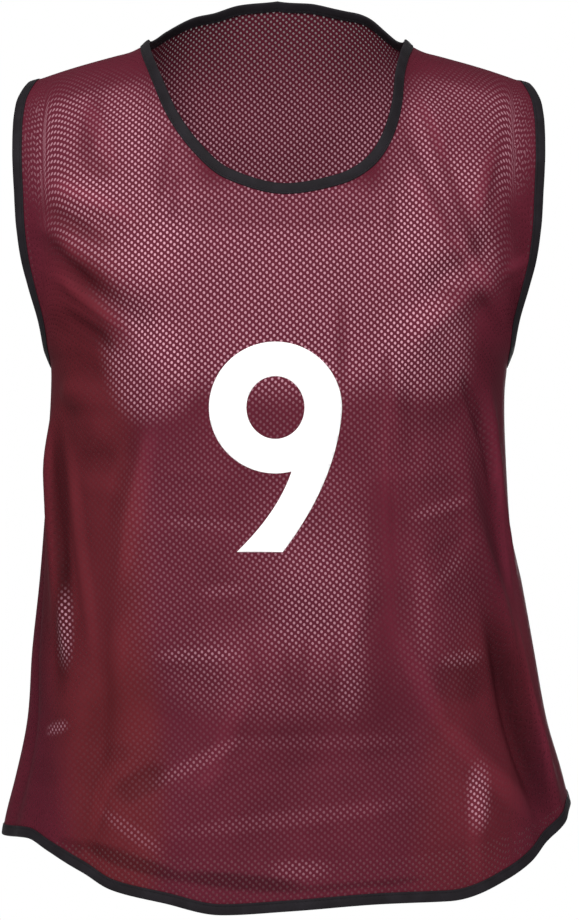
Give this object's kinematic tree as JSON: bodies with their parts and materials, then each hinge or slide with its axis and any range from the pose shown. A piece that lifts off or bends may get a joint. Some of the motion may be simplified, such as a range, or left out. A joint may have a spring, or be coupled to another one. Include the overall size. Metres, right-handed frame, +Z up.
{
  "type": "training bib",
  "caption": "Sleeveless open-net training bib, held in its worn, hollow form, with taped neck, armholes and curved hem.",
  "frame": {"origin": "midway between the two shoulder seams, at the height of their middles, where the wearer's shoulders carry the bib", "axes": "+Z up, -Y out of the front, +X towards the wearer's left arm"},
  "size_m": [0.4457, 0.2418, 0.7073],
  "materials": {
    "net": "soft open knit",
    "tape": "smooth woven tape"
  },
  "bodies": {
    "root": {"front_panel": "net", "back_panel": "net", "neck_binding": "tape", "armhole_binding_left": "tape", "armhole_binding_right": "tape", "hem_binding": "tape"}
  },
  "joints": []
}
